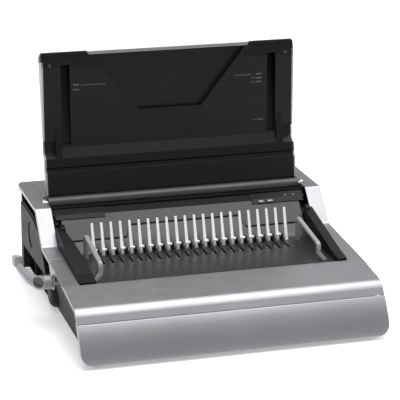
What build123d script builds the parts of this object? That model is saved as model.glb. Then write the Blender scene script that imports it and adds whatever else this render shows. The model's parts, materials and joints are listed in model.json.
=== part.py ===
from build123d import *
import os
from math import atan2, cos, hypot, pi, radians, sin, sqrt, tan

os.makedirs("parts", exist_ok=True)

# Comb binding machine, in millimetres: +X to the user's right, +Y to the rear, +Z up.
# It is drawn with x = 0 on the casing's middle plane, y = 0 near the front panel and z = 0 on
# the floor, then moved so that the origin is the middle of the overall footprint.
# ---- driving dimensions ----
HALF_W = 225.0                 # half the width of the silver casing
ARM_IN = 201.0                 # inner edge of the two casing arms
SKIN = 2.5                     # wall of the moulded covers
REAR_Y = 436.0                 # rear edge of the casing
DECK_Z = 79.5                  # top of the flat deck
DECK_FRONT = 97.6              # front edge of the opening in the casing
FRONT_Y, FRONT_Z = -18.0, 5.5  # lowest, foremost edge of the front panel
FRONT_R = 112.0                # the front panel's curve, seen from the side
PARTING_Y, PARTING_Z = 8.6, 57.5   # joint between casing and front panel
PARTING_GAP = 0.8
PANEL = 3.5                    # thickness of the front panel
LEVER_REACH = 267.5            # the lever's outermost point, to the left
ROW_SHIFT = ((LEVER_REACH - HALF_W) / 2, -(FRONT_Y + REAR_Y) / 2, 0.0)

PITCH = 14.2875                # spacing of the comb holes, 9/16 inch
TINES = 22
TINE_X0 = -PITCH * (TINES - 1) / 2
HOOKS = TINES - 1
HOOK_DX = 6.2                  # a hook's slot, to the right of its tine
TINE_BASE = (225.0, 82.0)      # y, z where a tine leaves the deck
TINE_LEAN = 18.7               # degrees back from vertical
TINE_LEN = 47.0

HINGE_Y, HINGE_Z = 321.0, 137.0
LID_OPEN = 81.33               # angle of the open lid above +Y, degrees
LID_HALF = 199.0
LID_LEN = 227.0
BARREL_R = 9.1
PIN_R = 3.6

SHAFT_Y, SHAFT_Z, SHAFT_R = 172.0, 65.0, 5.0
PINION_M, PINION_T = 1.5, 16
RACK_PITCH_Z = SHAFT_Z + PINION_M * PINION_T / 2

PUNCH_Z = 100.0                # height of the punches and the camshaft
PUNCH_STROKE = 14.0
CAM_Y, CAM_R0, CAM_LIFT = 372.0, 14.0, 14.0
GEAR_M, GEAR_T, MOTOR_T = 1.25, 42, 14
MOTOR_Z = PUNCH_Z - GEAR_M * (GEAR_T + MOTOR_T) / 2
RUN = 0.05                     # radial running clearance of a shaft


# ---- helpers ----
def save(name, *shapes):
    """Write one node, moved to the row's origin, as separate solids."""
    solids = [solid for shape in shapes for solid in shape.solids()]
    node = Pos(*ROW_SHIFT) * Compound(solids)
    export_step(node, f"parts/{name}.step")


def block(x0, x1, y0, y1, z0, z1):
    """Box between two corners."""
    size = Box(x1 - x0, y1 - y0, z1 - z0, align=(Align.MIN, Align.MIN, Align.MIN))
    return Pos(x0, y0, z0) * size


def outline(corners):
    """Closed flat face; each corner is (a, b) or (a, b, radius)."""
    face = make_face(Polyline(*[(c[0], c[1]) for c in corners], close=True))
    for corner in corners:
        if len(corner) == 3:
            vertex = face.vertices().sort_by_distance((corner[0], corner[1], 0))[0]
            face = fillet(vertex, corner[2])
    return face


def prism_x(face, x0, x1):
    """Solid from x0 to x1 whose side view (y, z) is the face."""
    return extrude(Plane.YZ.offset(x0) * face, x1 - x0)


def prism_y(face, y0, y1):
    """Solid from y0 to y1 whose front view (x, z) is the face."""
    return extrude(Plane.XZ.offset(-y1) * face, y1 - y0)


def prism_z(face, z0, z1):
    """Solid from z0 to z1 whose plan (x, y) is the face."""
    return extrude(Plane.XY.offset(z0) * face, z1 - z0)


def rod_x(radius, x0, x1, y, z):
    """Round bar along X."""
    return prism_x(Pos(y, z) * Circle(radius), x0, x1)


def rod_y(radius, y0, y1, x, z):
    """Round bar along Y."""
    return prism_y(Pos(x, z) * Circle(radius), y0, y1)


def rod_z(radius, z0, z1, x, y):
    """Round bar along Z."""
    return prism_z(Pos(x, y) * Circle(radius), z0, z1)


def both_sides(part):
    """The part and its mirror image in the casing's middle plane."""
    return [part, mirror(part, about=Plane.YZ)]


def gear(module, teeth, width, thin=0.44, turn=0.0):
    """Spur gear about local Z, starting at z = 0, with straight-sided teeth and backlash."""
    pitch_r = module * teeth / 2
    tip_r, root_r = pitch_r + 0.85 * module, pitch_r - 1.1 * module
    step = 2 * pi / teeth
    points = []
    for tooth in range(teeth):
        middle = tooth * step + radians(turn)
        for radius, share in ((root_r, 0.70), (pitch_r, thin), (tip_r, 0.22)):
            angle = middle - share * step / 2
            points.append((radius * cos(angle), radius * sin(angle)))
        for radius, share in ((tip_r, 0.22), (pitch_r, thin), (root_r, 0.70)):
            angle = middle + share * step / 2
            points.append((radius * cos(angle), radius * sin(angle)))
    return extrude(make_face(Polyline(*points, close=True)), width)


def gear_x(module, teeth, x0, width, y, z, bore, turn=0.0):
    """A gear whose axis lies along X. Its first tooth points along +Y at turn 0."""
    blank = gear(module, teeth, width, turn=turn) - Cylinder(bore, 3 * width)
    return Plane.YZ.offset(x0) * (Pos(y, z) * blank)


# ---- outlines shared by the covers, as (y, z) ----
CORNER_Y, CORNER_Z = 20.6, 74.4          # where front and top meet, before rounding
FRONT_CHORD = hypot(PARTING_Y - FRONT_Y, PARTING_Z - FRONT_Z)
FRONT_DIP = sqrt(FRONT_R ** 2 - FRONT_CHORD ** 2 / 4) / FRONT_CHORD
FRONT_CY = (PARTING_Y + FRONT_Y) / 2 + FRONT_DIP * (PARTING_Z - FRONT_Z)
FRONT_CZ = (PARTING_Z + FRONT_Z) / 2 - FRONT_DIP * (PARTING_Y - FRONT_Y)


def front_y(z, inset=0.0):
    """Y of the front panel's outer curve at a height, or of a curve that far inside it."""
    return FRONT_CY - sqrt((FRONT_R - inset) ** 2 - (z - FRONT_CZ) ** 2)


def front_arc(inset, z0, z1):
    """Arc of the front panel's curve between two heights, as a side view."""
    middle = (z0 + z1) / 2
    return ThreePointArc(*[(front_y(z, inset), z) for z in (z0, middle, z1)])


def front_slab(thickness, bottom):
    """Side view of a layer of the front panel, of a given thickness."""
    outer = front_arc(0.0, bottom, PARTING_Z)
    inner = front_arc(thickness, bottom, PARTING_Z)
    edges = [outer, Line(outer @ 1, inner @ 1), inner, Line(inner @ 0, outer @ 0)]
    return make_face(Wire(edges))


def top_profile(bottom):
    """Side view of the casing: leaning front, long slope, steep rise and flat top."""
    lean = (CORNER_Y - PARTING_Y) / (CORNER_Z - PARTING_Z)
    return [
        (PARTING_Y + lean * (bottom - PARTING_Z), bottom),
        (CORNER_Y, CORNER_Z, 20.0),
        (DECK_FRONT, 83.2, 300.0),
        (243.0, 92.8, 8.0),
        (289.0, 139.6, 7.0),
        (REAR_Y, 139.6, 3.0),
        (REAR_Y, bottom),
    ]


WALL_RISE = atan2(126.0 - 83.0, 284.5 - 236.0)          # slope of the wall behind the tines
WALL_TOP = (284.5, 126.0)
BAND_END = (298.3, 131.4)                                # front lip of the punch throat
BAND_RISE = atan2(BAND_END[1] - WALL_TOP[1] - 0.5, BAND_END[0] - WALL_TOP[0] - 0.8)


# ---- silver casing ----
def casing_skin():
    """The whole silver U: skin, side lips and the turned-down lip at the deck."""
    outer = outline(top_profile(40.0))
    inner = offset(outer, -SKIN)
    lip = offset(outer, -5.0)
    shell = prism_x(outer, -HALF_W, HALF_W) - prism_x(inner, -HALF_W - 1, HALF_W + 1)
    rim = prism_x(outer, HALF_W - SKIN, HALF_W) - prism_x(lip, HALF_W - 5, HALF_W + 1)
    shell = shell + both_sides(rim)
    edge_front = PARTING_Z + PARTING_GAP
    keep = outline([
        (-30, edge_front), (-30, 200), (500, 200), (500, 131.5), (380, 131.5), (380, 98), (300, 98),
        (60, edge_front),
    ])
    shell = shell & prism_x(keep, -300, 300)
    plan = outline([(-HALF_W, -40), (HALF_W, -40), (HALF_W, REAR_Y, 16), (-HALF_W, REAR_Y, 16)])
    shell = shell & prism_z(plan, 0, 200)
    rear_lip = prism_z(plan, 131.5, 138.0) - prism_z(offset(plan, -SKIN), 130, 140)
    shell += rear_lip & block(-HALF_W, HALF_W, 410, REAR_Y, 131.5, 138.0)
    shell -= block(-ARM_IN, ARM_IN, DECK_FRONT, 500, 0, 300)
    shell += block(-ARM_IN, ARM_IN, DECK_FRONT - SKIN, DECK_FRONT, 75.5, 82.0)
    hinge_notch = block(ARM_IN - 1, 208.5, 312.0, 331.0, 130, 145)
    for notch in both_sides(hinge_notch):
        shell -= notch
    return shell


def lever_tongue():
    """Part of the left arm that hangs down round the lever's shaft."""
    face = outline([
        (197, 89.5), (190, 78, 8), (181, 70, 6), (181, 53.5, 8), (163, 53.5, 8), (160, 87.0),
    ])
    return prism_x(face, -HALF_W, -HALF_W + 2.0) - rod_x(6.5, -HALF_W - 1, -HALF_W + 4, SHAFT_Y, SHAFT_Z)


ARM_SEAM_Y = 197.6
casing = casing_skin()
left_arm_cover = casing & block(-HALF_W - 5, -ARM_IN + 1, ARM_SEAM_Y, 500, 0, 300)
front_casing = casing - block(-HALF_W - 5, -ARM_IN + 1, ARM_SEAM_Y - 0.6, 500, 0, 300)
front_casing += lever_tongue()
save("front_casing", front_casing)
save("left_arm_cover", left_arm_cover)


# ---- dark side covers ----
SIDE_OUTER = [(-206.5, 3.5), (-218.0, 93.0), (-219.5, 105.0), (-219.5, 140.0)]
SIDE_INNER = [(-216.5, 140.0), (-216.5, 105.0), (-215.0, 93.0), (-203.5, 3.5)]


def side_panel():
    """Left cover: it tucks in under the arm towards the floor."""
    front = [(front_y(z, PANEL) + 1.5, z) for z in (3.5, 15.0, 28.0, 42.0, 57.0)]
    side = outline(front + [
        (20.0, 65.0), (27.5, 71.2), (97.6, 79.8), (245.0, 89.4),
        (290.5, 135.2), (420.0, 136.4), (427.0, 130.0), (427.0, 3.5),
    ])
    return prism_x(side, -230, -190) & prism_y(outline(SIDE_OUTER + SIDE_INNER), -30, 440)


def beyond_side(part):
    """What is left of a part outside the left side panel."""
    room = outline(SIDE_OUTER + [(-190.0, 140.0), (-190.0, 3.5)])
    return part - prism_y(room, -30, 440)


POD_FACE = [
    (240.0, 50.0, 4), (263.0, 78.0, 10), (286.0, 101.0, 16), (335.0, 111.0, 30), (427.0, 111.0, 3),
    (427.0, 5.0, 4), (411.0, 5.0, 3), (411.0, 44.0, 4),
]


def side_pod():
    """Left outer panel behind the lever, with a hand hold below it and a round finger recess."""
    face = outline(POD_FACE)
    pod = prism_x(face, -221.0, -204.0) - prism_x(offset(face, -SKIN), -221.0 + SKIN, -200.0)
    finger = rod_x(20.0, -222.0, -219.6, 349.5, 80.0)
    return beyond_side(pod) - finger


left_side = side_panel()
shaft_hole = rod_x(7.5, -230, -200, SHAFT_Y, SHAFT_Z)
boss = rod_x(22.0, -218.0, -200.0, 231.0, 26.0)
boss = beyond_side(fillet(boss.edges().group_by(Axis.X)[0], 10.0))
# The left cover is open above the pod, under the arm, and has a ribbed hollow below it for a hand.
above_pod = outline([
    (244, 60), (262, 82), (282, 105), (330, 114.5), (420, 114.5), (420, 133), (290, 133), (283, 150),
    (245, 100), (206, 95), (206, 80), (222, 60),
])
hand_hold = outline([(270, 10, 4), (270, 43, 6), (408, 40, 4), (408, 10, 4)])
hold_wall = prism_x(offset(hand_hold, 2.0), -213.0, -203.4) - prism_x(hand_hold, -230, -205.4)
hold_wall += block(-213.0, -204.0, 355, 357, 10.5, 41.0)
left_openings = [prism_x(above_pod, -235, -195), prism_x(hand_hold, -235, -195)]
left_cover = left_side - left_openings - shaft_hole + boss + hold_wall
save("left_side_panel", left_cover.solids().sort_by(SortBy.VOLUME)[-1])
save("right_side_panel", mirror(left_side, about=Plane.YZ))
save("left_side_pod", side_pod())
save("right_side_pod", mirror(side_pod(), about=Plane.YZ))


# ---- base, feet, rear ----
def base_pan():
    """Steel-grey tray that everything stands on."""
    pan = block(-203, 203, 12, 424, 3.5, 6.0)
    pan += block(-203, -200.5, 12, 424, 6, 34) + block(200.5, 203, 12, 424, 6, 34)
    pan += block(-203, 203, 421.5, 424, 6, 24)
    for index in range(9):
        x = -48 + 12 * index
        pan -= block(x - 2, x + 2, 330, 345, 3, 7)
    for x in BOARD_XS:
        for y in BOARD_YS:
            pan += rod_z(3.0, 6.0, 14.0, x, y)
    return pan


BOARD_XS, BOARD_YS = (66.0, 129.0), (356.0, 406.0)      # posts under the circuit board
FOOT_SPOTS = [(sx * 180.0, y) for sx in (-1, 1) for y in (36.0, 400.0)]
save("base_pan", base_pan())
save("rubber_feet", *[rod_z(11.0, 0, 3.5, x, y) for x, y in FOOT_SPOTS])


def rear_panel():
    """Rear cover with louvres, the mains inlet's opening and the switch's opening."""
    face = outline([(-203, 6), (203, 6), (214.5, 93), (216, 136), (-216, 136), (-214.5, 93)])
    panel = prism_y(face, 424.6, 427.0)
    for row in range(7):
        z = 60 + 8 * row
        panel -= block(-120, 40, 424, 428, z, z + 3)
    panel -= block(INLET_X - 14.2, INLET_X + 14.2, 424, 428, 28.8, 49.2)
    panel -= block(SWITCH_X - 7.0, SWITCH_X + 7.0, 424, 428, 28.0, 50.0)
    return panel


INLET_X, SWITCH_X = 150.0, 186.0
save("rear_panel", rear_panel())

cover_face = outline([
    (311.5, 122.5), (311.5, 125.0), (349.5, 125.0), (352.0, 139.6, 3), (REAR_Y, 139.6, 3),
    (REAR_Y, 131.5), (REAR_Y - SKIN, 131.5), (REAR_Y - SKIN, 137.1, 1), (353.5, 137.1), (351.5, 122.5),
])
save("rear_top_cover", prism_x(cover_face, -200.7, 200.7))


# ---- deck, wall and throat cover ----
def wall_skin():
    """Deck and the wall behind it as one bent sheet, before the joint line is cut."""
    down = (SKIN * sin(WALL_RISE), -SKIN * cos(WALL_RISE))
    knee = 236.0 - (83.0 - DECK_Z) / tan(WALL_RISE)
    inner_knee = knee + down[0] - (down[1] + SKIN) / tan(WALL_RISE)
    face = outline([
        (98.4, DECK_Z - SKIN), (98.4, DECK_Z), (knee, DECK_Z, 25.0), WALL_TOP,
        (WALL_TOP[0] + down[0], WALL_TOP[1] + down[1]), (inner_knee, DECK_Z - SKIN, 27.5),
    ])
    return prism_x(face, -187.6, 187.6)


def joint_plan(shift):
    """Plan of everything in front of the stepped joint line, moved back by shift."""
    outer, middle = 251.0 + shift, 266.7 + shift
    return outline([
        (-190, 90), (190, 90), (190, outer), (93, outer, 3.5), (87, middle, 3.5),
        (-87, middle, 3.5), (-93, outer, 3.5), (-190, outer),
    ])


def deck():
    """Glossy deck with a slot beside each hook and a hole for each tine."""
    part = wall_skin() & prism_z(joint_plan(-1.2), 60, 150)
    for index in range(TINES):
        x = TINE_X0 + PITCH * index
        part -= block(x - 3.1, x + 3.1, 221.8, 227.4, 70, 90)
        if index < HOOKS:
            slot_x = x + HOOK_DX
            part -= block(slot_x - 1.7, slot_x + 1.7, 187.0, 237.0, 70, 95)
    return part


save("slotted_deck", deck())

BAND_START = (285.3, 126.5)


def throat_cover():
    """Band and mouth of the punching throat."""
    front = outline([
        BAND_START, BAND_END, (298.3, 118.5), (295.8, 118.5), (295.8, 127.8), (286.6, 124.2),
    ])
    part = prism_x(front, -199.3, 199.3)
    rear = outline([(303.2, 118.5), (303.2, 133.4), (309.3, 134.0), (309.3, 118.5)])
    part += prism_x(rear, -199.3, 199.3)
    part += both_sides(block(150, 199.3, 298, 303.5, 118.5, 131.0))
    return part


def band_plane(x, y):
    """Plane on the band's surface at (x, y), its z axis square to the band."""
    z = BAND_START[1] + (y - BAND_START[0]) * tan(BAND_RISE)
    return Plane(origin=(x, y, z), x_dir=(1, 0, 0), z_dir=(0, -sin(BAND_RISE), cos(BAND_RISE)))


FASCIA_T = 1.3
BUTTON_XS = {"punch_button": 127.0, "reverse_button": 141.5}
LED_XS = (169.0, 182.0)
CONTROL_Y = 290.0
KEY_Y = 281.6                  # the keys sit on the sloping front of the strip


def key_plane(x):
    """Plane on the wall's slope in the middle of a key, its z axis square to the slope."""
    z = WALL_TOP[1] + (KEY_Y - WALL_TOP[0]) * tan(WALL_RISE)
    return Plane(origin=(x, KEY_Y, z), x_dir=(1, 0, 0), z_dir=(0, -sin(WALL_RISE), cos(WALL_RISE)))



def fascia(x0, x1):
    """Thin glossy strip that lies over the band and the top of the wall."""
    slope = tan(WALL_RISE)
    face = outline([
        (279.5, 126.0 - 5.0 * slope + 0.15), (284.6, 126.3), (297.9, 131.4),
        (297.5, 131.4 + FASCIA_T), (284.2, 126.2 + FASCIA_T, 4), (278.7, 126.0 - 5.8 * slope + 1.5),
    ])
    return prism_x(face, x0, x1)


def through_fascia(part, margin):
    """Openings for the two buttons and the two lamps."""
    for x in BUTTON_XS.values():
        part -= key_plane(x) * Box(11 + margin, 5.0 + margin, 18)
    for x in LED_XS:
        part -= band_plane(x, CONTROL_Y) * Cylinder(1.6 + margin / 4, 16)
    return part


wall_plate = wall_skin() - prism_z(joint_plan(1.2), 60, 150)
save("rear_wall_plate", through_fascia(wall_plate, 0.8))
save("throat_cover", through_fascia(throat_cover(), 0.8))
save("control_fascia", through_fascia(fascia(112.0, 195.5), 0.7))
save("left_fascia", fascia(-195.5, -120.0))
for name, x in BUTTON_XS.items():
    key = Pos(0, 0, -0.4) * Box(11, 5.0, 6.0)
    key = fillet(key.edges().filter_by(Axis.Z), 1.2)
    save(name, key_plane(x) * key)
lamp = Pos(0, 0, -1.9) * Cylinder(1.6, 7.4)
save("status_lamps", *[band_plane(x, CONTROL_Y) * lamp for x in LED_XS])
board = key_plane(154.0) * (Pos(-4, 0.4, -7.4) * Box(66, 5.4, 1.4))
contacts = [key_plane(x) * (Pos(0, 0, -5.9) * Box(5, 3.6, 1.6)) for x in BUTTON_XS.values()]
save("button_board", board + contacts)


# ---- comb opening: tines, hooks, lever ----
def tine_comb():
    """Fixed row of upright fingers, cut from one strip of plate."""
    lean = radians(TINE_LEAN)
    sheet = Plane(origin=(0, *TINE_BASE), x_dir=(1, 0, 0), z_dir=(0, -cos(lean), sin(lean)))
    strip = Pos(0, -10.5) * Rectangle(330, 9)
    for index in range(TINES):
        x = TINE_X0 + PITCH * index
        blade = outline([(x - 2.5, -7), (x + 2.5, -7), (x + 2.5, 2), (x + 1.7, TINE_LEN, 1.4),
                         (x - 1.7, TINE_LEN, 1.4), (x - 2.5, 2)])
        strip += blade
    comb = extrude(sheet * strip, 0.9, both=True)
    return comb + both_sides(block(156, 165, 216, 229, 70.5, DECK_Z - SKIN))


def hook(x):
    """Bright tip of one hook: it reaches to the left and down in front of a tine."""
    end = x + 3.6
    front = outline([
        (x - 2.6, 83.2, 0.6), (x - 2.6, 91.0, 2.6), (end, 91.0), (end, 88.8), (x + 0.2, 88.8, 0.8),
        (x + 0.2, 83.2, 0.6),
    ])
    return prism_y(front, 218.5, 223.8)


def blade(x):
    """Dark upright that comes up through a slot and carries one hook."""
    side = outline([
        (206, 71.8), (214.5, 71.8), (219, 75.5), (223.8, 80.5), (223.8, 91.0, 1), (218.5, 91.0, 2),
        (218.5, 81.5), (214, 76.2), (206, 75.4),
    ])
    neck = block(x + 3.6, x + HOOK_DX - 1.0, 218.5, 223.8, 88.8, 91.0)
    return prism_x(side, x + HOOK_DX - 1.2, x + HOOK_DX + 0.5) + neck


HOOK_XS = [TINE_X0 + PITCH * index for index in range(HOOKS)]
crossbar = block(-202, 202, 204, 214, 71.8, 75.6)
crossbar_ends = both_sides(block(201, 208.5, 210.6, 214, 71.8, 75.6))
risers = both_sides(block(203.6, 208.5, 210.6, 214, 75.0, 79.5))
rake = crossbar + [blade(x) for x in HOOK_XS] + crossbar_ends + risers
save("tine_comb", tine_comb())
save("hook_rake", rake)
save("hook_tips", *[hook(x) for x in HOOK_XS])


def rake_rack():
    """Right rack: it rests on the rake's riser and meshes with the pinion below it."""
    pitch = pi * PINION_M
    bar = block(203.6, 208.5, 148, 220, RACK_PITCH_Z + 1.9, RACK_PITCH_Z + 4.6)
    teeth = []
    for index in range(-5, 10):
        y = SHAFT_Y + pitch * index
        if y > 201:
            break
        tooth = outline([
            (y - 0.36 * pitch, RACK_PITCH_Z + 2.0), (y - 0.22 * pitch, RACK_PITCH_Z),
            (y - 0.11 * pitch, RACK_PITCH_Z - 1.2), (y + 0.11 * pitch, RACK_PITCH_Z - 1.2),
            (y + 0.22 * pitch, RACK_PITCH_Z), (y + 0.36 * pitch, RACK_PITCH_Z + 2.0),
        ])
        teeth.append(prism_x(tooth, 203.6, 208.5))
    return bar + teeth - block(203, 209, 210.4, 214.2, 70, 79.5)


save("rake_racks", *both_sides(rake_rack()))

# The pinion has a gap, not a tooth, straight up, so that the rack's middle tooth sits in it.
half_tooth = 180 / PINION_T
pinion_turn = 90 + half_tooth - 360 / PINION_T * round((90 + half_tooth) / (360 / PINION_T))
pinion = gear_x(PINION_M, PINION_T, 203.8, 4.4, SHAFT_Y, SHAFT_Z, SHAFT_R + RUN, pinion_turn)
save("rack_pinions", *both_sides(pinion))
save("lever_shaft", rod_x(SHAFT_R, -238.0, 209.5, SHAFT_Y, SHAFT_Z))


def shaft_bracket():
    """Right steel bracket that carries the lever's shaft."""
    plate = block(190, 193, 160, 184, 6.0, 71.3) + block(193, 200, 160, 184, 6.0, 8.5)
    return plate - rod_x(7.5, 185, 195, SHAFT_Y, SHAFT_Z)


bush = rod_x(7.5, 189, 194.5, SHAFT_Y, SHAFT_Z) - rod_x(SHAFT_R + RUN, 180, 199, SHAFT_Y, SHAFT_Z)
save("shaft_brackets", *both_sides(shaft_bracket()))
save("shaft_bushes", *both_sides(bush))


# Centre line of the lever and its radius: elbow beside the hub, then an arm to the rear.
LEVER_PATH = [
    (-244.0, 172.0, 65.3), (-249.5, 176.0, 66.6), (-254.0, 187.0, 67.6), (-257.5, 205.0, 68.0),
    (-259.5, 228.0, 67.8), (-260.0, 250.0, 69.0),
]
LEVER_RADII = [9.0, 8.4, 7.0, 6.2, 5.8, 6.0]
HUB_R = 10.0


def lever_handle():
    """Curved lever: round hub and elbow, slimmer arm, and a paddle to pull."""
    hub = rod_x(HUB_R, -244.0, -226.8, SHAFT_Y, SHAFT_Z)
    hub = hub + Pos(-244.0, SHAFT_Y, SHAFT_Z) * Sphere(HUB_R)
    path = Spline(*LEVER_PATH)
    shares = [index / (len(LEVER_PATH) - 1) for index in range(len(LEVER_PATH))]
    sections = []
    for share, radius in zip(shares, LEVER_RADII):
        sections.append(Plane(origin=path @ share, z_dir=path % share) * Circle(radius))
    arm = loft(sections)
    grip = Pos(7.5 - LEVER_REACH, 252.0, 72.8) * Rot(-12, 0, 0) * Box(15.0, 26.0, 17.0)
    grip = fillet(grip.edges().filter_by(Axis.X, reverse=True), 5.0)
    handle = hub + arm + grip
    return handle


# The elbow is cut off on a slant, with a sunk cap in a broad rim.
CAP_PLANE = Plane(origin=(-246.6, 163.6, 69.6), x_dir=(0.78, -0.55, 0.0), z_dir=(-0.55, -0.78, -0.30))
handle = lever_handle() + CAP_PLANE * (Pos(0, 0, -4.5) * Cone(5.5, 10.8, 9.0))
handle -= rod_x(SHAFT_R + RUN, -238.5, -220, SHAFT_Y, SHAFT_Z)
cap_solid = CAP_PLANE * (Pos(0, 0, -1.4) * Cylinder(8.4, 2.0))
save("lever_handle", handle - CAP_PLANE * (Pos(0, 0, 3.6) * Cylinder(8.6, 12.0)))
save("lever_cap", cap_solid)


# ---- fixed trim on the deck ----
def side_bar():
    """Right raised bar beside the tines: rear post, rail and a foot turned outwards."""
    x = 164.6
    path = FilletPolyline(
        (x, 216.2, DECK_Z - 1), (x, 216.2, 115.8), (x, 123.0, 103.4), (x, 122.4, 89.5),
        (174.0, 119.5, DECK_Z - 2), radius=5.0,
    )
    start = Plane(origin=path @ 0, x_dir=(1, 0, 0), z_dir=path % 0)
    bar = sweep(start * RectangleRounded(7.0, 5.4, 1.9), path=path)
    return bar - block(140, 190, 100, 240, 60, DECK_Z)


RAIL_FRONT, RAIL_BEND = (98.8, 86.6), (124.0, 89.8)     # a rail's top lies just below the shut lid
RAIL_SLOPE = 0.2205


def side_rail(plan):
    """Black rail beside the deck, of a given plan: it carries the shut lid."""
    top_end = (257.0, RAIL_BEND[1] + (257.0 - RAIL_BEND[0]) * RAIL_SLOPE)
    side = outline([
        (98.8, 76.2), (*RAIL_FRONT, 1), RAIL_BEND, (*top_end, 3), (260.0, 106.0, 2), (287.0, 112.0),
        (287.0, 99.0), (250.0, 87.0), (236.0, 76.2),
    ])
    top = outline([
        (98.8, DECK_Z), (*RAIL_FRONT, 1), RAIL_BEND, (*top_end, 3), (258.0, 90.0), (225.0, DECK_Z),
    ])
    under = outline([(90, 60), (90, DECK_Z), (232.2, DECK_Z), WALL_TOP, (300, 126), (300, 60)])
    rail = prism_x(side, -200.6, -188.0) + prism_x(top, -188.5, -170.0)
    stop = outline([(243.5, 110), (244.5, 120.5, 2), (257.0, 123.0, 2), (257.0, 110)])
    rail += prism_x(stop, -194.5, -180.0)
    rail -= prism_x(under, -188.0, -160.0)
    return (rail & prism_z(plan, 70, 130)).solids().sort_by(SortBy.VOLUME)[-1]


wide_plan = outline([
    (-201, 90), (-176.6, 90), (-177.2, 138), (-179.1, 166), (-183.6, 210), (-188.4, 240), (-189, 300),
    (-201, 300),
])
narrow_plan = outline([(-201, 90), (-186.8, 90), (-186.8, 240), (-189, 250), (-189, 300), (-201, 300)])
save("side_bars", *both_sides(side_bar()))
save("side_rails", side_rail(wide_plan), mirror(side_rail(narrow_plan), about=Plane.YZ))


# ---- lid ----
def lid_yz(t, n):
    """Side view (y, z) of a point t up the open lid and n behind its inner face."""
    a = radians(LID_OPEN)
    return (HINGE_Y + t * cos(a) + n * sin(a), HINGE_Z + t * sin(a) - n * cos(a))


def lid_outline(corners):
    """Closed side view given in lid terms (t, n)."""
    return outline([(*lid_yz(c[0], c[1]), *c[2:]) for c in corners])


def lid_block(x0, x1, t0, t1, n0, n1):
    """Box in lid terms."""
    return prism_x(lid_outline([(t0, n0), (t1, n0), (t1, n1), (t0, n1)]), x0, x1)


def lid_face_prism(corners):
    """Solid through the whole lid whose front view (x, t) is the closed outline."""
    a = radians(LID_OPEN)
    plane = Plane(origin=(0, HINGE_Y, HINGE_Z), x_dir=(1, 0, 0), z_dir=(0, -sin(a), cos(a)))
    return extrude(plane * outline(corners), 80, both=True)


def lid_dome(inset):
    """Solid along the lid whose cross-section (x, n) is crowned, with round sides."""
    a = radians(LID_OPEN)
    plane = Plane(origin=(0, HINGE_Y, HINGE_Z), x_dir=(1, 0, 0), z_dir=(0, cos(a), sin(a)))
    half = LID_HALF - inset
    top = 42.0 - inset
    section = outline([
        (-half, -30), (-half, top - 12, 16), (-150, top - 3, 60), (0, top, 300), (150, top - 3, 60),
        (half, top - 12, 16), (half, -30),
    ])
    return extrude(plane.offset(-20) * section, 270)


# inner face of the lid, from the hinge to the front edge
LID_FACE = [
    (10.5, 4.2), (44.2, 4.4), (46.5, 8.0), (50.0, 8.0), (52.5, 5.6), (65.2, 7.2), (81.2, 13.9),
    (203.5, -2.7), (225.6, 0.0),
]
# outer face of the lid, from the front edge back to the hinge
LID_BACK = [
    (LID_LEN, 1.0, 0.9), (226.5, 6.0, 3), (216.0, 20.5, 12), (198.0, 30.0, 30), (140.0, 38.5, 60),
    (60.0, 40.5, 60), (0.0, 24.5, 9), (-3.0, 12.0, 2),
]
RIM_T = LID_LEN - 6.5                                   # where the liner meets the silver rim
RECESS_T0, RECESS_T1 = 132.0, 222.0
RECESS_HALF0, RECESS_HALF1 = 49.0, 122.0
recess_grow = (RECESS_HALF1 - RECESS_HALF0) / (RECESS_T1 - RECESS_T0)
recess_top = RECESS_HALF1 + recess_grow * 20


def recess_plan(margin, extra=0.0):
    """Front view (x, t) of the central recess, grown by margin."""
    low = RECESS_T0 - margin
    half_low = RECESS_HALF0 + margin - extra
    half_top = recess_top + margin - extra
    return [(-half_low, low), (half_low, low), (half_top, RECESS_T1 + 20), (-half_top, RECESS_T1 + 20)]


def slot_floor(grow):
    """Side view of the pocket that clears a side bar when the lid is shut."""
    low, high, floor = 85 - grow, 207.2 + grow, 19 + grow
    return lid_outline([(low, -20), (low, floor), (high, floor), (high, -20)])


near_barrel = rod_x(BARREL_R + 0.3, -300, 300, HINGE_Y, HINGE_Z)
SCREW_X, SCREW_T, SCREW_R = 186.0, 207.0, 2.6


def lid_screw(radius):
    """Right round screw head, square to the lid, sunk into its inner face."""
    a = radians(LID_OPEN)
    plane = Plane(origin=(SCREW_X, *lid_yz(SCREW_T, 1.8)), x_dir=(1, 0, 0), z_dir=(0, -sin(a), cos(a)))
    return extrude(plane * Circle(radius), 4.6)


def lid_pocket():
    """Right lower corner of the lid, hollow and open to the side, over the end of a rail."""
    side = lid_outline([(65.2, -20), (65.2, 7.2), (74, 17), (92, 17), (92, -20)])
    return prism_x(side, 180.5, LID_HALF + 1)


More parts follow.
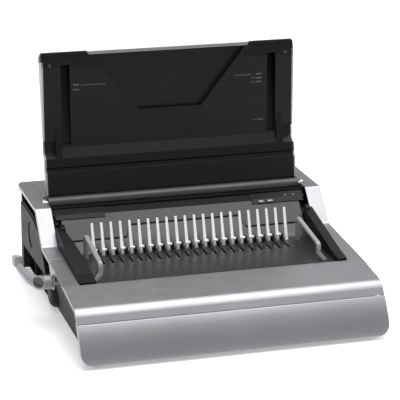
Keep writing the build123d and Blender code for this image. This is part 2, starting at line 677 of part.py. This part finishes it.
def lid_liner():
    """Black inner face of the lid: ledge, recess, two bar pockets and the two front corners."""
    back = [(t, n + SKIN) for t, n in reversed(LID_FACE[:-1])]
    end_t = RIM_T
    sheet = LID_FACE[:-1] + [(end_t, -0.2), (end_t, -0.2 + SKIN)] + back
    liner = prism_x(lid_outline(sheet), -LID_HALF + SKIN, LID_HALF - SKIN)
    wall = lid_outline([
        (RECESS_T0 - 2, 6), (RECESS_T0 - 2, 17), (end_t, 7.4), (end_t, -0.2), (203.5, -2.7),
    ])
    liner += prism_x(wall, -180, 180) & lid_face_prism(recess_plan(2.0))
    hollow = lid_outline([(RECESS_T0, -20), (RECESS_T0, 14.6), (250, 2.1), (250, -20)])
    liner -= prism_x(hollow, -180, 180) & lid_face_prism(recess_plan(0.0))
    well = prism_x(slot_floor(1.2), 154.6, 171.0)
    above_face = lid_outline(LID_FACE + [(240, 0), (240, -60), (0, -60)])
    well -= prism_x(above_face, 140, 190)
    rib = lid_outline([(64, 7.2), (65.2, 7.2), (112, 9.7), (112, 12.2), (81.2, 16.2), (64, 9.6)])
    liner += both_sides(well) + both_sides(prism_x(rib, 171.0, 180.5))
    for slot in both_sides(prism_x(slot_floor(0.0), 155.8, 169.8)):
        liner -= slot
    pocket_wall = lid_outline([
        (63, 7.4), (66, 7.4), (93, 11.0), (94.5, 11.0), (94.5, 19.2), (73, 19.2), (63, 9.4),
    ])
    liner += both_sides(prism_x(pocket_wall, 178.5, LID_HALF - SKIN))
    for pocket in both_sides(lid_pocket()):
        liner -= pocket
    for screw in both_sides(lid_screw(SCREW_R)):
        liner -= screw
    return liner - near_barrel


def lid_skin():
    """Thin silver dome of the lid, open on its inner side."""
    face = lid_outline(LID_FACE + LID_BACK)
    front_open = lid_outline([
        (8.0, -25), (8.0, 12), (40, 12), (60, 16), (81, 20), (203.5, 5), (RIM_T + 0.3, 4), (RIM_T + 0.3, -25),
    ])
    cavity = prism_x(offset(face, -SKIN), -LID_HALF + SKIN, LID_HALF - SKIN)
    cavity += prism_x(front_open, -LID_HALF + SKIN, LID_HALF - SKIN)
    cavity &= lid_dome(SKIN)
    shell = (prism_x(face, -LID_HALF, LID_HALF) & lid_dome(0.0)) - cavity - near_barrel
    for pocket in both_sides(lid_pocket()):
        shell -= pocket
    end = LID_LEN + 0.5
    front_view = [(-LID_HALF, -20), (LID_HALF, -20), (LID_HALF, end, 6), (-LID_HALF, end, 6)]
    return shell & lid_face_prism(front_view)


corner_zone = lid_block(-260, 260, 212, 240, -10, 15.5) - lid_face_prism(recess_plan(3.0))
skin = lid_skin()
corners = skin & corner_zone
liner = lid_liner() + corners
save("lid_liner", liner)
save("lid_shell", (skin - liner).solids().sort_by(SortBy.VOLUME)[-1])
save("lid_screws", *both_sides(lid_screw(SCREW_R)))

barrel = rod_x(BARREL_R, -198.8, 198.8, HINGE_Y, HINGE_Z)
for bore in both_sides(rod_x(PIN_R + RUN + 0.01, 183.5, 200, HINGE_Y, HINGE_Z)):
    barrel -= bore
save("hinge_barrel", barrel)
save("hinge_pins", *both_sides(rod_x(PIN_R, 184.0, 208.0, HINGE_Y, HINGE_Z)))
hinge_bracket = block(203.4, 207.0, 315.2, 326.8, 96, HINGE_Z) + rod_x(5.8, 203.4, 207.0, HINGE_Y, HINGE_Z)
hinge_bracket -= rod_x(PIN_R, 200, 210, HINGE_Y, HINGE_Z)
save("hinge_brackets", *both_sides(hinge_bracket))

# ---- drawer ----
def drawer_front():
    """Silver front panel: it curves forwards to the floor and has round lower corners."""
    sheet = front_slab(PANEL, FRONT_Z)
    lower = sheet.vertices().group_by(Axis.Y)[0] + sheet.vertices().group_by(Axis.Y)[1]
    sheet = fillet(lower, 1.5)
    front = outline([
        (-HALF_W, PARTING_Z), (-HALF_W, FRONT_Z, 18.0), (HALF_W, FRONT_Z, 18.0), (HALF_W, PARTING_Z),
    ])
    panel = prism_x(sheet, -HALF_W, HALF_W)
    panel += both_sides(prism_x(front_slab(9.0, FRONT_Z + 3), 222.0, HALF_W))
    return panel & prism_y(front, -40, 40)


def chip_tray(front):
    """Open tray that collects the punched chips, joined to the front panel by a broad rib."""
    tray = block(-184, 184, 14.0, 306, 8.0, 50.0) - block(-182, 182, 16.0, 304, 10.0, 60.0)
    rib = block(-150, 150, -22.0, 14.0, 20.0, 44.0) - front
    return tray + rib.solids().sort_by(Axis.Y)[-1]


front_panel = drawer_front()
save("drawer_front", front_panel)
save("chip_tray", chip_tray(front_panel))


# ---- punch unit ----
die_block = block(-194, 194, 288.0, 298.5, 86, 116)
die_block += block(-194, -166, 298.5, 301.5, 86, 116) + block(166, 194, 298.5, 301.5, 86, 116)
punch_guide = block(-194, 194, 301.6, 311.0, 86, 116)
pins = []
for index in range(HOOKS):
    x = TINE_X0 + PITCH * (index + 0.5)
    opening = block(x - 4.1, x + 4.1, 280, 320, PUNCH_Z - 1.6, PUNCH_Z + 1.6)
    die_block -= opening
    punch_guide -= opening
    pins.append(block(x - 4.0, x + 4.0, 302.5, 330.0, PUNCH_Z - 1.5, PUNCH_Z + 1.5))
save("die_block", die_block)
save("punch_guide", punch_guide)
save("punch_pins", *pins)
die_stand = block(188, 194, 288, 311, 6.0, 86.0)
save("die_stands", *both_sides(die_stand))

ROD_X = 155.0
CAM_X = 110.0
bar = block(-165, 165, 330.0, 342.0, 92, 108)
nose = block(CAM_X - 6, CAM_X + 6, 342.0, 353.5, 96, 104) + rod_x(4.0, CAM_X - 6, CAM_X + 6, 353.5, PUNCH_Z)
bar = bar + both_sides(nose)
for hole in both_sides(rod_y(3.0 + RUN, 320, 350, ROD_X, PUNCH_Z)):
    bar -= hole
save("pressure_bar", bar)
save("guide_rods", *both_sides(rod_y(3.0, 311.0, 350.0, ROD_X, PUNCH_Z)))


def return_spring():
    """Right return spring, wound round its guide rod."""
    wire = Helix(pitch=3.6, height=17.2, radius=5.0)
    coil = sweep(Plane(origin=wire @ 0, z_dir=wire % 0) * Circle(0.6), path=wire)
    return Pos(ROD_X, 311.9, PUNCH_Z) * Rot(-90, 0, 0) * coil


save("return_springs", *both_sides(return_spring()))


def heart_cam():
    """Cam whose lift grows evenly for half a turn and falls evenly for the other half."""
    points = []
    for degree in range(0, 360, 6):
        from_low = abs(180 - degree)
        radius = CAM_R0 + CAM_LIFT * from_low / 180
        points.append((radius * cos(radians(degree)), radius * sin(radians(degree))))
    return extrude(make_face(Polyline(*points, close=True)), 10) - Cylinder(6.0 + RUN, 30)


save("camshaft", rod_x(6.0, -192.0, 176.0, CAM_Y, PUNCH_Z))
save("heart_cams", *[Plane.YZ.offset(x - 5) * (Pos(CAM_Y, PUNCH_Z) * heart_cam()) for x in (-CAM_X, CAM_X)])

# Both gears lie in the plane x = -190 ... -182; the big gear's gap faces the pinion's tooth.
gear_step = 360 / GEAR_T
gear_turn = -90 + gear_step / 2
big_gear = gear_x(GEAR_M, GEAR_T, -190.0, 8.0, CAM_Y, PUNCH_Z, 6.0 + RUN, gear_turn)
for hole in range(6):
    angle = radians(60 * hole)
    big_gear -= rod_x(5.0, -195, -178, CAM_Y + 15.5 * cos(angle), PUNCH_Z + 15.5 * sin(angle))
save("camshaft_gear", big_gear)
pinion_teeth = gear_x(GEAR_M, MOTOR_T, -190.0, 8.0, CAM_Y, MOTOR_Z, 2.0, 90)
save("motor_pinion", pinion_teeth + rod_x(3.0, -190.5, -170.0, CAM_Y, MOTOR_Z))


def bearing_plate(x0):
    """Steel plate with a bearing seat, 2.5 mm thick."""
    plate = block(x0, x0 + 2.5, 348, 396, 6.0, 116.0)
    return plate - rod_x(9.5, x0 - 1, x0 + 4, CAM_Y, PUNCH_Z)


def cam_bearing(x0):
    """Bush for the camshaft."""
    return rod_x(9.5, x0 - 0.5, x0 + 3.5, CAM_Y, PUNCH_Z) - rod_x(6.0 + RUN, x0 - 2, x0 + 5, CAM_Y, PUNCH_Z)


left_plate = bearing_plate(-180.5) - rod_x(5.0, -182, -177, CAM_Y, MOTOR_Z)
save("bearing_plates", left_plate, bearing_plate(168.0))
save("cam_bearings", cam_bearing(-180.5), cam_bearing(168.0))
motor = rod_x(17.0, -177.9, -130.0, CAM_Y, MOTOR_Z) - rod_x(3.0 + RUN, -180, -169.5, CAM_Y, MOTOR_Z)
motor += rod_x(6.0, -130.0, -124.0, CAM_Y, MOTOR_Z)
save("drive_motor", motor)

board_block = block(60, 135, 350, 412, 14.0, 15.6)
save("circuit_board", board_block)
parts_on_board = [
    rod_z(7.0, 15.6, 37.0, 75, 365), rod_z(5.0, 15.6, 31.0, 92, 362), block(70, 92, 385, 405, 15.6, 33.0),
    block(102, 128, 356, 378, 15.6, 38.0), block(104, 126, 392, 404, 15.6, 28.0),
]
save("board_components", *parts_on_board)
core = block(-60, -14, 352, 392, 6.0, 48.0) - block(-50, -24, 345, 400, 14, 40)
winding = block(-49.8, -24.2, 348, 396, 14.2, 39.8)
save("transformer", core, winding)

inlet = block(INLET_X - 14, INLET_X + 14, 402, 427.0, 29.0, 49.0)
inlet += block(INLET_X - 17, INLET_X + 17, 427.0, 428.6, 25.0, 53.0)
inlet -= block(INLET_X - 12, INLET_X + 12, 410, 430, 31.0, 47.0)
for dx, dz in ((-7, 1.5), (0, -2.5), (7, 1.5)):
    inlet += block(INLET_X + dx - 1, INLET_X + dx + 1, 409, 424, 39 + dz - 2, 39 + dz + 2)
save("mains_inlet", inlet)
frame_out = block(SWITCH_X - 6.8, SWITCH_X + 6.8, 410, 427.0, 28.2, 49.8)
frame_out += block(SWITCH_X - 8.5, SWITCH_X + 8.5, 427.0, 428.4, 26.0, 52.0)
frame_out -= block(SWITCH_X - 5.4, SWITCH_X + 5.4, 414, 430, 29.6, 48.4)
ROCKER_Y = 423.0
frame_out -= rod_x(1.5 + RUN, SWITCH_X - 6.4, SWITCH_X + 6.4, ROCKER_Y, 39.0)
save("switch_frame", frame_out)
rocker = outline([(-7.4, -2.2), (7.4, -2.2), (8.0, 4.2), (0.0, 3.2), (-8.0, 6.0)])
rocker_key = Plane.YZ.offset(SWITCH_X - 5.0) * (Pos(ROCKER_Y, 39.0) * (Rot(0, 0, -90) * rocker))
rocker_pin = rod_x(1.5, SWITCH_X - 6.2, SWITCH_X + 6.2, ROCKER_Y, 39.0)
save("power_rocker", extrude(rocker_key, 10.0) + rocker_pin)

screw_spots = [(sx * 120.0, y) for sx in (-1, 1) for y in (60.0, 318.0)]
save("base_screws", *[rod_z(4.0, 1.6, 3.5, x, y) for x, y in screw_spots])
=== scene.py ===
"""Looks for the comb binding machine: materials, small details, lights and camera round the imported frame."""

import json
from math import atan2, cos, pi, radians, sin

import bmesh
import bpy
from mathutils import Matrix, Vector


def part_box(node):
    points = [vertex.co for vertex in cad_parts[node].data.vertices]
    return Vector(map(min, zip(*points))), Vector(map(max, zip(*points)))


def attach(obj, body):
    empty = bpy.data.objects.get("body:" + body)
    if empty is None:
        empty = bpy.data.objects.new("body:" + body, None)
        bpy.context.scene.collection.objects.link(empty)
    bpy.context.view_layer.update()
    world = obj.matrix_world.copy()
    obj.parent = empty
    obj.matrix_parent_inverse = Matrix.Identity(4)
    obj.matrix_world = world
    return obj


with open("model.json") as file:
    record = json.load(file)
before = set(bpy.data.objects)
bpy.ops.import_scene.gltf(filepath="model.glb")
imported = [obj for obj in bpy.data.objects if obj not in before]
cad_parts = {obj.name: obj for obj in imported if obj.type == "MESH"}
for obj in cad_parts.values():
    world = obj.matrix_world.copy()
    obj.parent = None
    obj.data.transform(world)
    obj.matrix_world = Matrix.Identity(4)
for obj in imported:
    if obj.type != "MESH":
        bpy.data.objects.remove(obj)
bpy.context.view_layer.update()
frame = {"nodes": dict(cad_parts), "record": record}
NODES = frame["nodes"]
SCENE = bpy.context.scene
MM = 0.001
ROW_SHIFT = Vector((0.02125, -0.209, 0.0))          # from the casing's own origin to the frame's
BEVEL_SAMPLES = 4
EDGE_FULL, EDGE_NONE = 0.80, 0.985                  # cosines between a rounded and a flat direction
FINE_EDGE = 0.4 * MM                                # rounding of thin metal and of the lamp lenses

# Noise scales, in features per metre, and how the handling marks and the metal's lines are drawn out.
CLOUD_SCALE, HANDLING_SCALE, LINE_SCALE, PATCH_SCALE, FACET_SCALE = 9.0, 38.0, 160.0, 26.0, 1500.0
HANDLING_STRETCH, LINE_STRETCH = (1.0, 2.2, 1.4), (1, 60, 60)
GRAIN_STRENGTH, LINE_STRENGTH, FACET_STRENGTH = 0.6, 0.5, 0.4
LINE_DEPTH, FACET_DEPTH = 0.02 * MM, 0.1 * MM


# ---- material building ----
class Shader:
    """A material with a Principled shader, and short ways to add nodes to it."""

    def __init__(self, name):
        self.material = bpy.data.materials.new(name)
        self.material.use_nodes = True
        self.tree = self.material.node_tree
        self.bsdf = self.tree.nodes["Principled BSDF"]
        self.place = self.add("ShaderNodeTexCoord").outputs["Object"]

    def add(self, kind, **settings):
        """New node with its settings."""
        node = self.tree.nodes.new(kind)
        for key, value in settings.items():
            setattr(node, key, value)
        return node

    def link(self, source, target):
        """Lead one socket into another."""
        self.tree.links.new(source, target)

    def noise(self, scale, detail=3.0, stretch=(1, 1, 1), rough=0.55):
        """Noise in the object's own metres: scale is features per metre."""
        mapping = self.add("ShaderNodeMapping")
        mapping.inputs["Scale"].default_value = stretch
        self.link(self.place, mapping.inputs["Vector"])
        noise = self.add("ShaderNodeTexNoise")
        noise.inputs["Scale"].default_value = scale
        noise.inputs["Detail"].default_value = detail
        noise.inputs["Roughness"].default_value = rough
        self.link(mapping.outputs["Vector"], noise.inputs["Vector"])
        return noise.outputs["Fac"]

    def ramp(self, source, low, high, at=(0.3, 0.7)):
        """Number that runs from low to high as the source runs between two values."""
        node = self.add("ShaderNodeMapRange")
        node.inputs["From Min"].default_value = at[0]
        node.inputs["From Max"].default_value = at[1]
        node.inputs["To Min"].default_value = low
        node.inputs["To Max"].default_value = high
        self.link(source, node.inputs["Value"])
        return node.outputs["Result"]

    def mix(self, factor, low, high):
        """Colour between two colours."""
        node = self.add("ShaderNodeMix", data_type="RGBA")
        self.link(factor, node.inputs["Factor"])
        for socket, value in ((node.inputs["A"], low), (node.inputs["B"], high)):
            if isinstance(value, tuple):
                socket.default_value = (*value, 1.0)
            else:
                self.link(value, socket)
        return node.outputs["Result"]

    def combine(self, operation, first, second):
        """Two numbers added, multiplied and so on."""
        node = self.add("ShaderNodeMath", operation=operation)
        self.link(first, node.inputs[0])
        self.link(second, node.inputs[1])
        return node.outputs["Value"]

    def rounded(self, radius):
        """Surface direction with the sharp edges rounded off."""
        bevel = self.add("ShaderNodeBevel", samples=BEVEL_SAMPLES)
        bevel.inputs["Radius"].default_value = radius
        return bevel.outputs["Normal"]

    def edge_mask(self, normal):
        """About 1 on a rounded edge and 0 on flat stretches."""
        geometry = self.add("ShaderNodeNewGeometry")
        dot = self.add("ShaderNodeVectorMath", operation="DOT_PRODUCT")
        self.link(normal, dot.inputs[0])
        self.link(geometry.outputs["Normal"], dot.inputs[1])
        return self.ramp(dot.outputs["Value"], 1.0, 0.0, at=(EDGE_FULL, EDGE_NONE))

    def bump(self, height, distance, strength, normal):
        """Surface direction with the height's small ups and downs in it."""
        node = self.add("ShaderNodeBump")
        node.inputs["Distance"].default_value = distance
        node.inputs["Strength"].default_value = strength
        self.link(height, node.inputs["Height"])
        self.link(normal, node.inputs["Normal"])
        return node.outputs["Normal"]


def moulded(name, colour, rough, grain=1400.0, depth=0.05, edge=0.0006, metal=0.0, edge_wear_and_highlight=1.35,
            smudge=0.06, spread=0.10, coat=0.0, coat_rough=0.1, gloss=0.5):
    """Moulded or painted surface: grain, cloudy tone, handling marks in the gloss, and lighter edges that are
    partly wear and partly a painted highlight.

    grain is features per metre, depth the grain's height in millimetres, edge the rounding in metres,
    edge_wear_and_highlight how much lighter the edges are, from wear and a painted highlight, and smudge and
    spread how much roughness and tone vary.
    """
    s = Shader(name)
    fine = s.noise(grain, detail=4.0)
    cloud = s.noise(CLOUD_SCALE, detail=4.0)
    marks = s.noise(HANDLING_SCALE, detail=6.0, stretch=HANDLING_STRETCH, rough=0.7)
    normal = s.rounded(edge)
    dark = tuple(c * (1 - spread) for c in colour)
    light = tuple(c * (1 + spread) for c in colour)
    # Lighter edge colour: wear on the rounded edges, and a painted highlight there as well.
    worn_and_highlit = tuple(min(1.0, c * edge_wear_and_highlight + 0.01) for c in colour)
    tone = s.combine("ADD", s.ramp(cloud, 0.0, 0.7), s.ramp(fine, 0.0, 0.3))
    base = s.mix(tone, dark, light)
    # Rounded edges along the handling marks, where the wear and the painted highlight go.
    scuff_and_highlight_mask = s.combine("MULTIPLY", s.edge_mask(normal), s.ramp(marks, 0.35, 1.0))
    s.link(s.mix(scuff_and_highlight_mask, base, worn_and_highlit), s.bsdf.inputs["Base Color"])
    dullness = s.combine("ADD", s.ramp(marks, rough - smudge, rough + smudge), s.ramp(fine, -0.02, 0.02))
    s.link(dullness, s.bsdf.inputs["Roughness"])
    s.bsdf.inputs["Metallic"].default_value = metal
    s.bsdf.inputs["Specular IOR Level"].default_value = gloss
    s.bsdf.inputs["Coat Weight"].default_value = coat
    s.bsdf.inputs["Coat Roughness"].default_value = coat_rough
    s.link(s.bump(fine, depth * MM, GRAIN_STRENGTH, normal), s.bsdf.inputs["Normal"])
    return s.material


def brushed(name, colour, rough):
    """Metal with fine lines along X, dull patches and edges lightened as a painted highlight."""
    s = Shader(name)
    lines = s.noise(LINE_SCALE, detail=5.0, stretch=LINE_STRETCH, rough=0.7)
    patches = s.noise(PATCH_SCALE, detail=4.0)
    normal = s.rounded(FINE_EDGE)
    dark = tuple(c * 0.80 for c in colour)
    base = s.mix(s.ramp(patches, 0.0, 1.0), dark, colour)
    # Edges lighter in colour: a painted highlight on the rounded metal edges.
    edge_highlight_colour = tuple(min(1.0, c * 1.35) for c in colour)
    s.link(s.mix(s.edge_mask(normal), base, edge_highlight_colour), s.bsdf.inputs["Base Color"])
    gloss = s.combine("ADD", s.ramp(lines, rough - 0.08, rough + 0.10), s.ramp(patches, -0.04, 0.06))
    s.link(gloss, s.bsdf.inputs["Roughness"])
    s.bsdf.inputs["Metallic"].default_value = 1.0
    s.link(s.bump(lines, LINE_DEPTH, LINE_STRENGTH, normal), s.bsdf.inputs["Normal"])
    return s.material


def lens(name, colour):
    """Clear moulded lamp lens with fine facets inside."""
    s = Shader(name)
    facets = s.add("ShaderNodeTexVoronoi")
    facets.inputs["Scale"].default_value = FACET_SCALE
    s.link(s.place, facets.inputs["Vector"])
    tint = tuple(c * 0.7 for c in colour)
    s.link(s.mix(facets.outputs["Distance"], tint, colour), s.bsdf.inputs["Base Color"])
    normal = s.rounded(FINE_EDGE)
    s.link(s.bump(facets.outputs["Distance"], FACET_DEPTH, FACET_STRENGTH, normal), s.bsdf.inputs["Normal"])
    s.bsdf.inputs["Roughness"].default_value = 0.12
    s.bsdf.inputs["Transmission Weight"].default_value = 0.35
    s.bsdf.inputs["IOR"].default_value = 1.49
    return s.material


MATERIALS = {
    "casing_silver": moulded(
        "silver_paint", (0.30, 0.305, 0.315), 0.35, grain=2600, depth=0.012, edge=0.0012, metal=0.72,
        edge_wear_and_highlight=1.5, smudge=0.035, spread=0.05, coat=0.10, coat_rough=0.25),
    "side_dark_plastic": moulded(
        "dark_side_plastic", (0.008, 0.0083, 0.0095), 0.55, depth=0.06, edge=0.0008, gloss=0.20),
    "deck_gloss_black": moulded(
        "gloss_black", (0.024, 0.0245, 0.026), 0.29, grain=700, depth=0.003, edge=0.0005,
        smudge=0.04, spread=0.12, gloss=0.40),
    "wall_grey_plastic": moulded(
        "wall_grey", (0.036, 0.037, 0.040), 0.28, grain=900, depth=0.008, smudge=0.05, gloss=0.25),
    # Edge lightening set high here: a painted highlight on the recess bevels, on top of wear.
    "black_matte_plastic": moulded(
        "black_grain", (0.0045, 0.0047, 0.0054), 0.44, depth=0.07, smudge=0.05, edge_wear_and_highlight=2.6, gloss=0.20),
    "satin_barrel_plastic": moulded("barrel_satin", (0.026, 0.0265, 0.028), 0.42, depth=0.02, gloss=0.6),
    "bright_tine_plastic": moulded(
        "bright_nylon", (0.93, 0.935, 0.945), 0.26, grain=900, depth=0.01, edge=0.0004, edge_wear_and_highlight=1.2,
        spread=0.03),
    "lever_plastic": moulded("lever_grey", (0.27, 0.275, 0.285), 0.30, depth=0.04, edge=0.001, spread=0.05),
    "cap_grey_plastic": moulded("cap_grey", (0.045, 0.046, 0.049), 0.50, grain=500, depth=0.12, spread=0.2),
    "key_plastic": moulded("key_satin", (0.012, 0.0125, 0.014), 0.30, depth=0.02, edge=0.0005),
    "lamp_lens": lens("lamp_lens", (0.35, 0.40, 0.37)),
    "steel": brushed("zinc_steel", (0.50, 0.50, 0.51), 0.34),
    "brass": brushed("turned_brass", (0.74, 0.57, 0.29), 0.26),
    "rubber": moulded("foot_rubber", (0.020, 0.020, 0.021), 0.78, grain=900, depth=0.12, edge_wear_and_highlight=1.8),
    "board_plastic": moulded("board_green", (0.02, 0.11, 0.05), 0.34, grain=1100, depth=0.03),
}

for entry in frame["record"]["subparts"]:
    node = NODES[entry["node"]]
    node.data.materials.clear()
    node.data.materials.append(MATERIALS[entry["material_slot"]])


# ---- printed marks ----
def new_piece(name, mesh, material):
    """Object made from a finished bmesh."""
    bmesh.ops.recalc_face_normals(mesh, faces=mesh.faces)
    data = bpy.data.meshes.new(name)
    mesh.to_mesh(data)
    mesh.free()
    data.materials.append(material)
    piece = bpy.data.objects.new(name, data)
    SCENE.collection.objects.link(piece)
    return piece


KEY_SLOPE = atan2(126.0 - 83.0, 284.5 - 236.0)      # rise over run of the wall that the keys sit on
KEY_FACE = 3.0 * MM                                 # from the middle of a key out to its face
KEY_MARK_LENGTH, KEY_MARK_WIDTH = 6.0 * MM, 1.2 * MM
KEY_MARK_UP = 0.3 * MM                              # from the middle of a key, up the slope
KEY_MARK_PROUD, KEY_MARK_DEPTH = 0.12 * MM, 0.5 * MM
KEY_MARK_CORNERS = 24


def key_mark(name, body, node):
    """Thin bar with round ends, printed on a key and placed from the key's box."""
    low, high = (Vector(corner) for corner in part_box(node))
    along = Vector((0.0, cos(KEY_SLOPE), sin(KEY_SLOPE)))
    out = Vector((0.0, -sin(KEY_SLOPE), cos(KEY_SLOPE)))
    centre = (low + high) / 2 + along * KEY_MARK_UP + out * (KEY_FACE + KEY_MARK_PROUD)
    end_r = KEY_MARK_WIDTH / 2
    mesh = bmesh.new()
    corners = []
    for turn in range(KEY_MARK_CORNERS):
        angle = 2 * pi * (turn + 0.5) / KEY_MARK_CORNERS
        side = 1 if cos(angle) > 0 else -1
        x = end_r * cos(angle) + (KEY_MARK_LENGTH / 2 - end_r) * side
        corners.append(mesh.verts.new(centre + Vector((x, 0, 0)) + along * (end_r * sin(angle))))
    face = mesh.faces.new(corners)
    solid = bmesh.ops.extrude_face_region(mesh, geom=[face])
    moved = [item for item in solid["geom"] if isinstance(item, bmesh.types.BMVert)]
    bmesh.ops.translate(mesh, verts=moved, vec=-out * KEY_MARK_DEPTH)
    piece = new_piece(name, mesh, mark_white)
    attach(piece, body)


mark_white = moulded("mark_white", (0.62, 0.63, 0.64), 0.45, grain=2000, depth=0.004, spread=0.06)
key_mark("punch_key_mark", "punch_key", "punch_button")
key_mark("reverse_key_mark", "reverse_key", "reverse_button")


# The size lines lie on the lid's inner face. Their places are in the casing's own millimetres.
LID_ANGLE = radians(81.33)                          # the open lid above +Y
LID_HINGE = Vector((0.0, 321.0, 137.0))
LINER_FACE = ((81.2, 13.9), (203.5, -2.7))          # up the lid, and behind its front plane
LINE_FRONT, LINE_BACK = 0.12, -0.4                  # in front of the liner's face
FINE, BROAD = 0.8, 1.5                              # width of a line, and of a bar in place of a word


def liner_point(x, up, shift):
    """Point near the liner's face: x across, up from the hinge, and shift in front of the face."""
    (t0, n0), (t1, n1) = LINER_FACE
    behind = n0 + (up - t0) * (n1 - n0) / (t1 - t0) - shift
    across = Vector((0.0, cos(LID_ANGLE), sin(LID_ANGLE))) * up
    depth = Vector((0.0, sin(LID_ANGLE), -cos(LID_ANGLE))) * behind
    return (Vector((x, 0, 0)) + LID_HINGE + across + depth) * MM + ROW_SHIFT


def size_lines(name, lines):
    """Printed lines, each (x0, x1, up, width), as thin strips in one mesh."""
    mesh = bmesh.new()
    for x0, x1, up, width in lines:
        half = width / 2
        corners = ((x0, up - half), (x1, up - half), (x1, up + half), (x0, up + half))
        front = [mesh.verts.new(liner_point(*corner, LINE_FRONT)) for corner in corners]
        back = [mesh.verts.new(liner_point(*corner, LINE_BACK)) for corner in corners]
        mesh.faces.new(front)
        mesh.faces.new(back[::-1])
        for step in range(4):
            after = (step + 1) % 4
            mesh.faces.new((front[step], back[step], back[after], front[after]))
    piece = new_piece(name, mesh, mark_grey)
    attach(piece, "lid")


mark_grey = moulded("mark_grey", (0.10, 0.10, 0.105), 0.6, grain=2000, depth=0.004, spread=0.08)
size_lines("left_size_lines", [
    (-151.2, -141.8, 176.2, BROAD), (-139.0, -101.0, 175.2, FINE), (-151.2, -141.8, 168.8, BROAD),
])
size_lines("right_size_lines", [
    (104.0, 131.0, 175.0, FINE), (138.0, 147.5, 175.2, BROAD), (130.0, 136.5, 169.4, FINE),
    (138.0, 147.5, 169.2, BROAD), (129.0, 136.5, 162.8, FINE), (138.0, 147.5, 163.0, BROAD),
    (132.6, 140.0, 103.3, FINE), (141.5, 150.5, 103.6, BROAD),
])


# ---- camera ----
CAMERA_PLACE = Vector((-0.70575, -2.5068, 0.9679))
CAMERA_YAW = radians(16.339)                        # turned from +Y towards +X
CAMERA_PITCH = radians(17.218)                      # looking down
CAMERA_ROLL = radians(0.2303)
LENS_MM, SENSOR_MM = 166.0, 36.0
FLOOR_SIZE = 40.0


def aim_camera(position, yaw, pitch, roll):
    """Camera looking down by pitch, turned by yaw from +Y towards +X, then tilted by roll."""
    forward = Vector((sin(yaw) * cos(pitch), cos(yaw) * cos(pitch), -sin(pitch)))
    level = Vector((cos(yaw), -sin(yaw), 0.0))
    upward = level.cross(forward)
    right = level * cos(roll) + upward * sin(roll)
    top = upward * cos(roll) - level * sin(roll)
    data = bpy.data.cameras.new("camera")
    data.lens = LENS_MM
    data.sensor_width = SENSOR_MM
    data.clip_end = 1.5 * FLOOR_SIZE
    camera = bpy.data.objects.new("camera", data)
    SCENE.collection.objects.link(camera)
    axes = Matrix((right, top, -forward)).transposed().to_4x4()
    camera.matrix_world = Matrix.Translation(position) @ axes
    SCENE.camera = camera


aim_camera(CAMERA_PLACE, CAMERA_YAW, CAMERA_PITCH, CAMERA_ROLL)


# ---- studio ----
FLOOR_GLOW = 0.38                                   # the floor's own light, which thins the shadow
WORLD_STRENGTH = 0.9
SLOW_RISE = 0.45                                    # upward share of a direction: above it, brightens fast


def studio_floor():
    """Large pale floor that the object stands on."""
    bpy.ops.mesh.primitive_plane_add(size=FLOOR_SIZE, location=(0, 0, 0))
    floor = bpy.context.object
    floor.name = "studio_floor"
    s = Shader("studio_white")
    soft = s.noise(1.5, detail=2.0)
    s.link(s.mix(soft, (0.86, 0.86, 0.87), (0.90, 0.90, 0.905)), s.bsdf.inputs["Base Color"])
    s.bsdf.inputs["Roughness"].default_value = 0.65
    s.bsdf.inputs["Specular IOR Level"].default_value = 0.2
    s.bsdf.inputs["Emission Color"].default_value = (1.0, 1.0, 1.0, 1.0)
    s.bsdf.inputs["Emission Strength"].default_value = FLOOR_GLOW
    floor.data.materials.append(s.material)


def area_light(name, place, aim, size, power):
    """Rectangular soft light at a place, pointing at aim: size is width and length, power is in watts."""
    data = bpy.data.lights.new(name, "AREA")
    data.shape = "RECTANGLE"
    data.size, data.size_y = size
    data.energy = power
    light = bpy.data.objects.new(name, data)
    SCENE.collection.objects.link(light)
    light.location = place
    light.rotation_euler = (Vector(aim) - Vector(place)).to_track_quat("-Z", "Y").to_euler()


def studio_world():
    """Grey studio surround: darkest at the horizon and below it, white straight above."""
    world = bpy.data.worlds.new("studio")
    world.use_nodes = True
    SCENE.world = world
    tree = world.node_tree
    background = tree.nodes["Background"]
    direction = tree.nodes.new("ShaderNodeTexCoord").outputs["Generated"]
    split = tree.nodes.new("ShaderNodeSeparateXYZ")
    tree.links.new(direction, split.inputs["Vector"])
    ramp = tree.nodes.new("ShaderNodeValToRGB")
    tree.links.new(split.outputs["Z"], ramp.inputs["Fac"])
    stops = ramp.color_ramp.elements
    stops[0].position, stops[0].color = 0.0, (0.26, 0.26, 0.27, 1)
    stops[1].position, stops[1].color = 1.0, (1.0, 1.0, 1.0, 1)
    middle = stops.new(SLOW_RISE)
    middle.color = (0.38, 0.38, 0.39, 1)
    tree.links.new(ramp.outputs["Color"], background.inputs["Color"])
    background.inputs["Strength"].default_value = WORLD_STRENGTH


studio_floor()
studio_world()
area_light("overhead", (0.36, 0.02, 2.3), (0.17, 0.09, 0.1), (2.5, 2.1), 66.0)
area_light("front_left", (-1.9, -1.9, 1.3), (0, 0, 0.12), (1.2, 1.2), 1.5)
area_light("right_fill", (2.2, -0.8, 1.2), (0, 0, 0.12), (1.4, 1.4), 9.0)
SCENE.view_settings.view_transform = "Standard"
